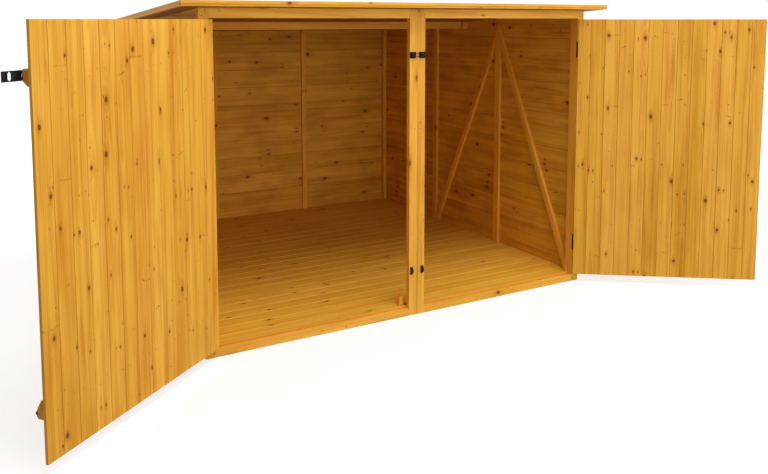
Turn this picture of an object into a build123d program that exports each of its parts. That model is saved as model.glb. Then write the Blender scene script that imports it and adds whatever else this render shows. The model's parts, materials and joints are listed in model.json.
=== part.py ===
"""A low timber bike shelter with two open doors and a single-pitch roof.

All sizes are in millimetres. The origin is on the ground at the middle of the
footprint. X runs along the front to the right, Y runs from the front to the
back and Z runs up. The doors are drawn where they stand open.
"""

from build123d import *
from math import atan2, cos, degrees, radians, sin, sqrt
import os

# Overall frame
frame_width = 2194.0
frame_depth = 2220.0
front_height = 1546.0
roof_slope = 0.06

# Timber sections
post_width = 45.0
post_thickness = 27.0
board_thickness = 12.0
wall_inset = 6.0
wall_foot = 10.0
batten_width = 27.0
batten_depth = 28.0
stud_width = 48.0
stud_thickness = 17.0
back_batten_width = 35.0
brace_width = 34.0
sill_height = 37.0
joist_width = 45.0
floor_thickness = 12.0
floor_setback = 20.0
header_height = 45.0
purlin_height = 44.0
purlin_thickness = 27.0
purlin_position = 1097.0
purlin_block_length = 42.0
purlin_block_thickness = 18.0

# Places of the uprights, measured from the front plane or the left edge
first_stud = 704.0
second_stud = 1424.0
back_batten_positions = (746.0, 1444.0)
joist_spacing = 500.0
brace_foot_run = 6.0
brace_head_drop = 76.0
brace_mitre_gap = 0.6

# Roof
roof_board_thickness = 16.0
felt_thickness = 3.0
roof_edge_height = 24.0
roof_edge_thickness = 18.0
front_overhang = 82.0
side_overhang = 95.0
back_overhang = 70.0

# Doors
door_gap = 5.0
door_bottom = 48.0
door_open_left = 141.3
door_open_right = 144.0
rail_height = 58.0
rail_thickness = 25.0
rail_setback = 35.0
rail_corner = 18.0
rail_small_corner = 4.0
top_rail_drop = 183.0
bottom_rail_rise = 178.0
door_brace_width = 58.0
door_brace_end = 70.0

# Surface hinges
hinge_height = 88.0
upper_hinge_lift = 16.0
lower_hinge_lift = 6.0
hinge_leaf_reach = 31.0
hinge_leaf_start = 6.5
hinge_leaf_thickness = 2.0
hinge_pin_radius = 2.2
hinge_pin_clearance = 0.08
hinge_knuckle_radius = 4.4
hinge_knuckle_gap = 0.4
pin_proud = 5.2

# Hasp, staple and keepers
hasp_height = 34.0
hasp_lift = 8.0
lower_keeper_lift = 6.0
hasp_thickness = 2.5
hasp_reach = 80.0
hasp_slot_width = 14.0
hasp_slot_height = 27.0
hasp_slot_centre = 50.0
hasp_base_length = 48.0
hasp_pin_radius = 1.6
hasp_pin_clearance = 0.08
hasp_knuckle_radius = 3.8
hasp_knuckle_gap = 0.4
hasp_end_clearance = 0.5
staple_wire = 4.0
staple_loop_height = 17.0
staple_bend_radius = 6.0
staple_loop_reach = 44.0
keeper_length = 36.0
keeper_width = 31.0
keeper_bridge = 17.0
lower_keeper_length = 38.0
lower_keeper_width = 15.0
lower_keeper_bridge = 20.0
keeper_rise = 7.0
keeper_thickness = 2.5
keeper_bend = 2.0
keeper_spacing = 53.0
lower_keeper_spacing = 62.0
door_tab_drop = 8.0
door_tab_height = 24.0
door_tab_width = 26.0
door_tab_lip_height = 10.0
door_tab_lip_reach = 8.0
door_tab_thickness = 2.5

# Small blocks on the floor
stop_block_size = 22.0
stop_block_height = 46.0
stop_block_offset = 12.0
corner_block_height = 36.0

# Worked out from the sizes above
left_edge = -frame_width / 2
front_face = -frame_depth / 2
back_face = frame_depth / 2
post_back = front_face + post_thickness
back_wall_inner = back_face - board_thickness
wall_outer = frame_width / 2 - wall_inset
wall_inner = wall_outer - board_thickness
floor_top = sill_height + floor_thickness
header_bottom = front_height - header_height
door_top = header_bottom - door_gap
opening_width = frame_width / 2 - 2 * post_width
door_width = opening_width - 2 * door_gap
pin_x = frame_width / 2 - post_width - door_gap / 2
pin_y = front_face - pin_proud
door_edge = door_gap / 2
door_free = door_edge + door_width
top_rail_middle = door_top - top_rail_drop
bottom_rail_middle = door_bottom + bottom_rail_rise
rail_middles = (bottom_rail_middle, top_rail_middle)
rail_corners = ((rail_small_corner, rail_corner), (rail_corner, rail_small_corner))
hinge_middles = (bottom_rail_middle + lower_hinge_lift, top_rail_middle + upper_hinge_lift)
hasp_middle = top_rail_middle + hasp_lift
lower_keeper_middle = bottom_rail_middle + lower_keeper_lift
open_angle = {-1: door_open_left, 1: door_open_right}
hasp_pin_run = door_free + hasp_knuckle_radius + hasp_end_clearance
hasp_pin_lift = rail_thickness - pin_proud + hasp_knuckle_radius


def roof_under(y):
    """Height of the underside of the roof boards at a distance along Y."""
    return front_height - roof_slope * (y - front_face)


def timber(x, y, z):
    """Adds one square-cut timber, from its low and high limit on each axis."""
    with BuildSketch(Plane.XY.offset(z[0])) as section:
        with Locations(((x[0] + x[1]) / 2, (y[0] + y[1]) / 2)):
            Rectangle(x[1] - x[0], y[1] - y[0])
    extrude(section.sketch, amount=z[1] - z[0])


def upright(x, y, foot):
    """Adds a timber whose top is cut to the slope of the roof."""
    with BuildSketch(Plane.YZ.offset(x[0])) as side:
        bay_outline(y, foot)
    extrude(side.sketch, amount=x[1] - x[0])


def roof_strip(x, y, under, over):
    """Adds a layer of the roof, at its distances above the boards' underside."""
    with BuildSketch(Plane.YZ.offset(x[0])) as side:
        with BuildLine():
            Polyline(
                (y[0], roof_under(y[0]) + under),
                (y[1], roof_under(y[1]) + under),
                (y[1], roof_under(y[1]) + over),
                (y[0], roof_under(y[0]) + over),
                close=True,
            )
        make_face()
    extrude(side.sketch, amount=x[1] - x[0])


def brace_strip(foot, head):
    """Keeps the run of a diagonal batten from the side elevation in hand."""
    run = Vector(*head) - Vector(*foot)
    with Locations(Vector(*foot) + run / 2):
        angle = degrees(atan2(run.Y, run.X))
        Rectangle(run.length * 2, brace_width, rotation=angle, mode=Mode.INTERSECT)


def brace_underside(foot, head, y):
    """Height of the lower edge of a diagonal batten at a distance along Y."""
    slope = (head[1] - foot[1]) / (head[0] - foot[0])
    return head[1] + slope * (y - head[0]) - brace_width / 2 * sqrt(1 + slope**2)


def bay_outline(bay, foot):
    """Draws the part of a wall between two places, from a height to the roof."""
    low = [(bay[0], foot), (bay[1], foot)]
    high = [(bay[1], roof_under(bay[1])), (bay[0], roof_under(bay[0]))]
    Polygon(*low, *high, align=None)


def door_face(side, lift=0.0):
    """Plane of a door, lifted outwards from its pin; x runs along it and y up."""
    swing = radians(open_angle[side])
    along = Vector(cos(swing), side * sin(swing), 0)
    outward = Vector(side * sin(swing), -cos(swing), 0)
    pin = Vector(side * pin_x, pin_y, 0)
    return Plane(origin=pin + outward * lift, x_dir=along, z_dir=outward)


def door_pin(side, run, lift, height):
    """Level plane at a point of a door, for knuckles and pins."""
    face = door_face(side, lift)
    place = face.from_local_coords((-side * run, height, 0))
    return Plane(origin=place, x_dir=face.x_dir, z_dir=(0, 0, 1))


def door_plate(side, run, z, lift, thickness, low_corner=0.0, high_corner=0.0):
    """Adds a flat piece of a door; run is measured from the hinge pin."""
    with BuildSketch(door_face(side, lift)) as outline:
        with Locations((-side * (run[0] + run[1]) / 2, (z[0] + z[1]) / 2)):
            Rectangle(run[1] - run[0], z[1] - z[0])
        if low_corner:
            chamfer(outline.vertices().group_by(Axis.Y)[0], low_corner)
        if high_corner:
            chamfer(outline.vertices().group_by(Axis.Y)[-1], high_corner)
    extrude(outline.sketch, amount=thickness)


def knuckle(place, height, radius, mode=Mode.ADD):
    """Adds a length of hinge barrel or pin, or bores one out."""
    with BuildSketch(place) as round_section:
        Circle(radius)
    extrude(round_section.sketch, amount=height, mode=mode)


def keeper(place, length, width, bridge):
    """Adds a bent plate with two feet and a raised bridge between them."""
    middle = keeper_thickness / 2
    feet = [(-length / 2, middle), (-bridge / 2, middle)]
    top = [(-bridge / 2, keeper_rise + middle), (bridge / 2, keeper_rise + middle)]
    far_foot = [(bridge / 2, middle), (length / 2, middle)]
    with BuildSketch(place) as bend:
        with BuildLine():
            FilletPolyline(*feet, *top, *far_foot, radius=keeper_bend)
        trace(line_width=keeper_thickness)
    extrude(bend.sketch, amount=width / 2, both=True)


def finish(piece, name):
    """Labels a piece and writes it to its own file."""
    piece.part.label = name
    export_step(piece.part, f"parts/{name}.step")


os.makedirs("parts", exist_ok=True)

# Base and floor
with BuildPart() as front_sill:
    timber((left_edge, -post_width), (front_face, post_back), (0, sill_height))
    timber((post_width, -left_edge), (front_face, post_back), (0, sill_height))
finish(front_sill, "front_sill")

with BuildPart() as back_bearer:
    timber((-wall_inner, wall_inner), (back_wall_inner - post_thickness, back_wall_inner), (0, sill_height))
finish(back_bearer, "back_bearer")

joist_count = 2 * round((wall_inner - joist_width / 2) / joist_spacing) + 1
joist_step = (2 * wall_inner - joist_width) / (joist_count - 1)
with BuildPart() as floor_joists:
    for index in range(joist_count):
        joist_left = -wall_inner + index * joist_step
        timber(
            (joist_left, joist_left + joist_width),
            (post_back, back_wall_inner - post_thickness),
            (0, sill_height),
        )
finish(floor_joists, "floor_joists")

with BuildPart() as floor_boards:
    timber((-wall_inner, wall_inner), (post_back, back_wall_inner), (sill_height, floor_top))
    for side in (-1, 1):
        bay = sorted((side * post_width, side * (frame_width / 2 - post_width)))
        timber(bay, (front_face + floor_setback, post_back), (sill_height, floor_top))
finish(floor_boards, "floor_boards")

# Front frame
for side, name in ((-1, "front_post_left"), (1, "front_post_right")):
    with BuildPart() as front_post:
        reach = sorted((side * frame_width / 2, side * (frame_width / 2 - post_width)))
        upright(reach, (front_face, post_back), sill_height)
    finish(front_post, name)

for side, name in ((-1, "centre_post_left"), (1, "centre_post_right")):
    with BuildPart() as centre_post:
        upright(sorted((0, side * post_width)), (front_face, post_back), 0)
    finish(centre_post, name)

for side, name in ((-1, "header_left"), (1, "header_right")):
    with BuildPart() as header:
        bay = sorted((side * post_width, side * (frame_width / 2 - post_width)))
        upright(bay, (front_face, post_back), header_bottom)
    finish(header, name)

# Walls with their battens
for side, name in ((-1, "left_wall"), (1, "right_wall")):
    with BuildPart() as side_wall:
        upright(sorted((side * wall_inner, side * wall_outer)), (post_back, back_wall_inner), wall_foot)
    finish(side_wall, name)

with BuildPart() as back_wall:
    upright((-wall_outer, wall_outer), (back_wall_inner, back_face), wall_foot)
finish(back_wall, "back_wall")

with BuildPart() as front_corner_battens:
    for side in (-1, 1):
        reach = sorted((side * wall_inner, side * (wall_inner - batten_width)))
        upright(reach, (post_back, post_back + batten_depth), floor_top)
finish(front_corner_battens, "front_corner_battens")

with BuildPart() as rear_corner_battens:
    for side in (-1, 1):
        reach = sorted((side * wall_inner, side * (wall_inner - batten_width)))
        upright(reach, (back_wall_inner - batten_depth, back_wall_inner), floor_top)
finish(rear_corner_battens, "rear_corner_battens")

first_stud_span = (front_face + first_stud, front_face + first_stud + stud_width)
second_stud_span = (front_face + second_stud, front_face + second_stud + stud_width)
brace_top = sum(first_stud_span) / 2
brace_head = (brace_top, roof_under(brace_top) - brace_head_drop)
front_leg_bay = (post_back + batten_depth, brace_top - brace_mitre_gap / 2)
rear_leg_bay = (brace_top + brace_mitre_gap / 2, second_stud_span[0])
front_leg_foot = (front_leg_bay[0] + brace_foot_run, floor_top)
rear_leg_foot = (rear_leg_bay[1] - brace_foot_run, floor_top)
stud_cheeks = [
    (first_stud_span[0], brace_underside(front_leg_foot, brace_head, first_stud_span[0])),
    (brace_top, brace_underside(front_leg_foot, brace_head, brace_top)),
    (first_stud_span[1], brace_underside(rear_leg_foot, brace_head, first_stud_span[1])),
]
for side, name in ((-1, "left"), (1, "right")):
    reach = sorted((side * wall_inner, side * (wall_inner - stud_thickness)))
    with BuildPart() as studs:
        upright(reach, second_stud_span, floor_top)
        with BuildSketch(Plane.YZ.offset(reach[0])):
            stud_foot = [(first_stud_span[1], floor_top), (first_stud_span[0], floor_top)]
            Polygon(*stud_foot, *stud_cheeks, align=None)
        extrude(amount=reach[1] - reach[0])
    finish(studs, f"{name}_wall_studs")
    with BuildPart() as braces:
        for bay, foot in ((front_leg_bay, front_leg_foot), (rear_leg_bay, rear_leg_foot)):
            with BuildSketch(Plane.YZ.offset(reach[0])):
                bay_outline(bay, floor_top)
                brace_strip(foot, brace_head)
            extrude(amount=reach[1] - reach[0])
    finish(braces, f"{name}_wall_braces")

with BuildPart() as back_wall_battens:
    for position in back_batten_positions:
        upright(
            (left_edge + position, left_edge + position + back_batten_width),
            (back_wall_inner - stud_thickness, back_wall_inner),
            floor_top,
        )
finish(back_wall_battens, "back_wall_battens")

# Roof
purlin_front = front_face + purlin_position
purlin_back = purlin_front + purlin_thickness
with BuildPart() as purlin:
    purlin_foot = roof_under(purlin_back) - purlin_height
    upright((-wall_inner, wall_inner), (purlin_front, purlin_back), purlin_foot)
    for side in (-1, 1):
        reach = sorted((side * wall_inner, side * (wall_inner - purlin_block_length)))
        upright(reach, (purlin_front - purlin_block_thickness, purlin_front), purlin_foot)
finish(purlin, "purlin")

roof_side = frame_width / 2 + side_overhang
roof_front = front_face - front_overhang
roof_back = back_face + back_overhang
inner_side = roof_side - roof_edge_thickness
inner_front = roof_front + roof_edge_thickness
inner_back = roof_back - roof_edge_thickness
with BuildPart() as roof_boards:
    roof_strip((-inner_side, inner_side), (inner_front, inner_back), 0, roof_board_thickness)
finish(roof_boards, "roof_boards")

with BuildPart() as roof_felt:
    roof_strip(
        (-inner_side, inner_side),
        (inner_front, inner_back),
        roof_board_thickness,
        roof_board_thickness + felt_thickness,
    )
finish(roof_felt, "roof_felt")

with BuildPart() as roof_edge_front:
    roof_strip((-roof_side, roof_side), (roof_front, inner_front), 0, roof_edge_height)
finish(roof_edge_front, "roof_edge_front")

with BuildPart() as roof_edge_back:
    roof_strip((-roof_side, roof_side), (inner_back, roof_back), 0, roof_edge_height)
finish(roof_edge_back, "roof_edge_back")

for side, name in ((-1, "roof_edge_left"), (1, "roof_edge_right")):
    with BuildPart() as roof_edge_side:
        reach = sorted((side * inner_side, side * roof_side))
        roof_strip(reach, (inner_front, inner_back), 0, roof_edge_height)
    finish(roof_edge_side, name)

# Doors: boards, rails and a diagonal brace on the outer face
board_face = -pin_proud
for side, name in ((-1, "left_door"), (1, "right_door")):
    with BuildPart() as door_boards:
        door_plate(side, (door_edge, door_free), (door_bottom, door_top), board_face, -board_thickness)
    finish(door_boards, f"{name}_boards")

    with BuildPart() as door_rails:
        for middle, corners in zip(rail_middles, rail_corners):
            door_plate(
                side,
                (door_edge + rail_setback, door_free),
                (middle - rail_height / 2, middle + rail_height / 2),
                board_face,
                rail_thickness,
                *corners,
            )
    finish(door_rails, f"{name}_rails")

    with BuildPart() as door_brace:
        brace_low = bottom_rail_middle + rail_height / 2
        brace_high = top_rail_middle - rail_height / 2
        foot_run = door_edge + rail_setback + door_brace_end
        head_run = door_free - door_brace_end
        with BuildSketch(door_face(side, board_face)):
            with BuildLine():
                Polyline(
                    (-side * (foot_run - door_brace_width / 2), brace_low),
                    (-side * (foot_run + door_brace_width / 2), brace_low),
                    (-side * (head_run + door_brace_width / 2), brace_high),
                    (-side * (head_run - door_brace_width / 2), brace_high),
                    close=True,
                )
            make_face()
        extrude(amount=rail_thickness)
    finish(door_brace, f"{name}_brace")

# Hinges: a leaf on the post that holds the pin, and a leaf on the door
knuckle_height = (hinge_height - 2 * hinge_knuckle_gap) / 3
middle_start = knuckle_height + hinge_knuckle_gap
for side, name in ((-1, "left"), (1, "right")):
    with BuildPart() as post_hinges:
        for middle in hinge_middles:
            low = middle - hinge_height / 2
            flat = (front_face - hinge_leaf_thickness, front_face)
            leaf = sorted((side * (pin_x + hinge_leaf_start), side * (pin_x + hinge_leaf_reach)))
            timber(leaf, flat, (low, low + hinge_height))
            for start in (low, low + 2 * middle_start):
                tab = sorted((side * pin_x, side * (pin_x + hinge_leaf_start)))
                timber(tab, flat, (start, start + knuckle_height))
                knuckle(Plane((side * pin_x, pin_y, start)), knuckle_height, hinge_knuckle_radius)
            knuckle(Plane((side * pin_x, pin_y, low)), hinge_height, hinge_pin_radius)
    finish(post_hinges, f"{name}_post_hinges")

    with BuildPart() as door_hinges:
        for middle in hinge_middles:
            low = middle - hinge_height / 2
            start = low + middle_start
            leaf = (hinge_leaf_start, hinge_leaf_reach)
            door_plate(side, leaf, (low, low + hinge_height), board_face, hinge_leaf_thickness)
            tab = (0, hinge_leaf_start)
            door_plate(side, tab, (start, start + knuckle_height), board_face, hinge_leaf_thickness)
            place = door_pin(side, 0, 0, start)
            knuckle(place, knuckle_height, hinge_knuckle_radius)
            knuckle(place, knuckle_height, hinge_pin_radius + hinge_pin_clearance, Mode.SUBTRACT)
    finish(door_hinges, f"{name}_door_hinges")

# Hasp on the end of the left door's top rail
rail_face = board_face + rail_thickness
hasp_low = hasp_middle - hasp_height / 2
hasp_knuckle_height = (hasp_height - 2 * hasp_knuckle_gap) / 3
hasp_knuckle_start = hasp_low + hasp_knuckle_height + hasp_knuckle_gap
with BuildPart() as hasp_base:
    base_run = (door_free - hasp_base_length, door_free)
    door_plate(-1, base_run, (hasp_low, hasp_low + hasp_height), rail_face, hasp_thickness)
    for start in (hasp_low, hasp_low + 2 * (hasp_knuckle_height + hasp_knuckle_gap)):
        level = (start, start + hasp_knuckle_height)
        door_plate(-1, (door_free, hasp_pin_run), level, rail_face, hasp_thickness)
        knuckle(door_pin(-1, hasp_pin_run, hasp_pin_lift, start), hasp_knuckle_height, hasp_knuckle_radius)
    knuckle(door_pin(-1, hasp_pin_run, hasp_pin_lift, hasp_low), hasp_height, hasp_pin_radius)
finish(hasp_base, "hasp_base")

strap_start = hasp_pin_run + hasp_knuckle_radius + hasp_end_clearance
slot_middle = door_free + hasp_slot_centre
with BuildPart() as hasp_strap:
    with BuildSketch(door_face(-1, rail_face)):
        with Locations(((strap_start + door_free + hasp_reach) / 2, hasp_middle)):
            Rectangle(door_free + hasp_reach - strap_start, hasp_height)
        with Locations((slot_middle, hasp_middle)):
            SlotOverall(hasp_slot_height, hasp_slot_width, rotation=90, mode=Mode.SUBTRACT)
    extrude(amount=hasp_thickness)
    door_plate(
        -1,
        (hasp_pin_run, strap_start),
        (hasp_knuckle_start, hasp_knuckle_start + hasp_knuckle_height),
        rail_face,
        hasp_thickness,
    )
    place = door_pin(-1, hasp_pin_run, hasp_pin_lift, hasp_knuckle_start)
    knuckle(place, hasp_knuckle_height, hasp_knuckle_radius)
    knuckle(place, hasp_knuckle_height, hasp_pin_radius + hasp_pin_clearance, Mode.SUBTRACT)
finish(hasp_strap, "hasp_strap")

# Staple and keepers on the centre post
with BuildPart() as staple:
    leg = staple_loop_height / 2 - staple_wire / 2
    with BuildLine() as bow:
        FilletPolyline(
            (0, front_face, hasp_middle - leg),
            (0, front_face - staple_loop_reach, hasp_middle - leg),
            (0, front_face - staple_loop_reach, hasp_middle + leg),
            (0, front_face, hasp_middle + leg),
            radius=staple_bend_radius,
        )
    with BuildSketch(Plane(bow.line @ 0, z_dir=bow.line % 0)):
        Circle(staple_wire / 2)
    sweep()
finish(staple, "staple")

with BuildPart() as upper_keepers:
    for side in (-1, 1):
        seat = (side * keeper_spacing / 2, front_face, hasp_middle)
        place = Plane(origin=seat, x_dir=(1, 0, 0), z_dir=(0, 0, -1))
        keeper(place, keeper_length, keeper_width, keeper_bridge)
finish(upper_keepers, "upper_keepers")

with BuildPart() as lower_keepers:
    for side in (-1, 1):
        seat = (side * lower_keeper_spacing / 2, front_face, lower_keeper_middle)
        place = Plane(origin=seat, x_dir=(0, 0, 1), z_dir=(1, 0, 0))
        keeper(place, lower_keeper_length, lower_keeper_width, lower_keeper_bridge)
finish(lower_keepers, "lower_keepers")

for side, name in ((-1, "left_door_tab"), (1, "right_door_tab")):
    with BuildPart() as door_tab:
        middle = bottom_rail_middle - door_tab_drop
        tab_span = (middle - door_tab_height / 2, middle + door_tab_height / 2)
        door_plate(side, (door_free - door_tab_width, door_free), tab_span, rail_face, door_tab_thickness)
        lip_span = (middle - door_tab_lip_height / 2, middle + door_tab_lip_height / 2)
        lip_reach = (door_free - door_tab_thickness, door_free)
        door_plate(side, lip_reach, lip_span, rail_face, door_tab_lip_reach)
    finish(door_tab, name)

# Small blocks on the floor behind the centre post and the right-hand post
with BuildPart() as stop_blocks:
    timber(
        (-post_width - stop_block_offset - stop_block_size, -post_width - stop_block_offset),
        (post_back + stop_block_offset, post_back + stop_block_offset + stop_block_size),
        (floor_top, floor_top + stop_block_height),
    )
    timber(
        (frame_width / 2 - post_width - stop_block_size, frame_width / 2 - post_width),
        (post_back, post_back + stop_block_size),
        (floor_top, floor_top + corner_block_height),
    )
finish(stop_blocks, "stop_blocks")
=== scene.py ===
"""The looks of a low timber bike shelter with two open doors.

Everything is in metres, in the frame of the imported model: X to the right along
the front, Y from the front to the back, Z up. Timbers are planed copies of the
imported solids, and walls, doors, floor and roof are laid board by board.
"""

import json
import math
import random

import bmesh
import bpy
import numpy as np
from mathutils import Matrix, Vector, noise


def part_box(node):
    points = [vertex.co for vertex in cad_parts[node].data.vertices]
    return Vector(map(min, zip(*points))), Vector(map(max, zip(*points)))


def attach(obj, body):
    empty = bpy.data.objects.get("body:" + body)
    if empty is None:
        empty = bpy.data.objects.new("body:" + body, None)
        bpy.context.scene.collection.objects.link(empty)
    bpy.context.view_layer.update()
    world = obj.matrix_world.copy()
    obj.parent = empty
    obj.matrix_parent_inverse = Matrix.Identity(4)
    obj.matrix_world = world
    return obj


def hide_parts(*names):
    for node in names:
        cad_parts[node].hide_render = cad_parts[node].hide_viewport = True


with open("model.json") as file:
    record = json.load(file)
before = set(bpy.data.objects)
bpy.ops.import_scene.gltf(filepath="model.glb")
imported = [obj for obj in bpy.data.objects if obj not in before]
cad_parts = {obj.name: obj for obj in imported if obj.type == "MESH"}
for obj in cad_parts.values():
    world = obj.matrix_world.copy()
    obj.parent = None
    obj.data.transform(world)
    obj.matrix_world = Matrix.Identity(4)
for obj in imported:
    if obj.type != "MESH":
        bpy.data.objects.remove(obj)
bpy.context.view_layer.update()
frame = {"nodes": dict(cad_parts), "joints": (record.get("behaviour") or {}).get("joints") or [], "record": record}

MM = 0.001
LEFT, RIGHT = -1, 1
DOOR_NAMES = {LEFT: "left_door", RIGHT: "right_door"}
dice = random.Random(41)


# Colours and shader nodes

def screen(red, green, blue):
    """Linear colour of a colour on screen, whose channels run from 0 to 255."""
    channels = []
    for value in (red, green, blue):
        share = value / 255
        channels.append(share / 12.92 if share <= 0.04045 else ((share + 0.055) / 1.055) ** 2.4)
    return (*channels, 1.0)


class Nodes:
    """Adds nodes to a tree and joins them."""

    family = ""

    def __init__(self, tree):
        self.tree = tree

    def feed(self, socket, source):
        """Gives an input a link or a plain value."""
        if isinstance(source, bpy.types.NodeSocket):
            self.tree.links.new(source, socket)
        else:
            socket.default_value = source

    def node(self, kind, inputs=None, **settings):
        """Adds a node of a kind of this tree's family."""
        made = self.tree.nodes.new(self.family + kind)
        for key, value in settings.items():
            setattr(made, key, value)
        for key, source in (inputs or {}).items():
            self.feed(made.inputs[key], source)
        return made

    def math(self, operation, *terms, clamp=False):
        made = self.tree.nodes.new("ShaderNodeMath")
        made.operation = operation
        made.use_clamp = clamp
        for number, term in enumerate(terms):
            self.feed(made.inputs[number], term)
        return made.outputs[0]

    def times(self, first, second):
        return self.math("MULTIPLY", first, second)

    def plus(self, first, second):
        return self.math("ADD", first, second)

    def scaled(self, value, factor, shift):
        """A value times a factor, plus a shift."""
        return self.math("MULTIPLY_ADD", value, factor, shift)


class Shading(Nodes):
    """Shader nodes of a world or a material."""

    family = "ShaderNode"


class Finish(Shading):
    """A material in the making."""

    def __init__(self, name):
        self.material = bpy.data.materials.new(name)
        self.material.use_nodes = True
        super().__init__(self.material.node_tree)
        self.surface = self.tree.nodes["Principled BSDF"]

    def cover(self, **inputs):
        """Sets inputs of the surface; an underscore stands for a space."""
        for key, source in inputs.items():
            self.feed(self.surface.inputs[key.replace("_", " ")], source)

    def noise(self, vector, scale=1.0, detail=2.0, roughness=0.5, output="Fac"):
        inputs = {"Vector": vector, "Scale": scale, "Detail": detail, "Roughness": roughness}
        return self.node("TexNoise", inputs).outputs[output]

    def reach(self, value, start, end, low=0.0, high=1.0):
        """Carries a value smoothly from one range to another."""
        inputs = {0: value, 1: start, 2: end, 3: low, 4: high}
        return self.node("MapRange", inputs, interpolation_type="SMOOTHSTEP").outputs[0]

    def blend(self, share, first, second):
        """Mixes a share of the second colour into the first."""
        made = self.node("Mix", data_type="RGBA")
        self.feed(made.inputs["Factor"], share)
        colours = [socket for socket in made.inputs if socket.type == "RGBA"]
        self.feed(colours[0], first)
        self.feed(colours[1], second)
        return next(socket for socket in made.outputs if socket.type == "RGBA")

    def steps(self, value, *stops):
        """A colour ramp of grey values, given as places and brightnesses."""
        made = self.node("ValToRGB", {0: value})
        ramp = made.color_ramp
        while len(ramp.elements) < len(stops):
            ramp.elements.new(0.5)
        for element, (place, grey) in zip(ramp.elements, stops):
            element.position = place
            element.color = (grey, grey, grey, 1.0)
        return made.outputs[0]

    def bump(self, height, distance, strength):
        inputs = {"Height": height, "Distance": distance, "Strength": strength}
        self.cover(Normal=self.node("Bump", inputs).outputs[0])


# Stained pine

RING_WIDTH = 5.2 * MM
KNOT_HALO, KNOT_SKIRT, KNOT_CORE = screen(186, 106, 20), screen(166, 88, 14), screen(64, 30, 6)
KNOT_PALE, KNOT_DARK = screen(148, 78, 12), screen(84, 40, 6)
PIN_SKIRT, PIN_EYE = screen(172, 94, 16), screen(92, 44, 8)
SPIKE_STAIN = screen(134, 68, 12)
THICK_STAIN = screen(158, 92, 14)
# Painted shade for the joints between boards.
SEAM_SHADE = screen(156, 86, 18)
# Painted highlight for the arris of a board that faces the light.
ARRIS_HIGHLIGHT = screen(255, 222, 140)
END_STAIN = screen(150, 88, 24)


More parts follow.
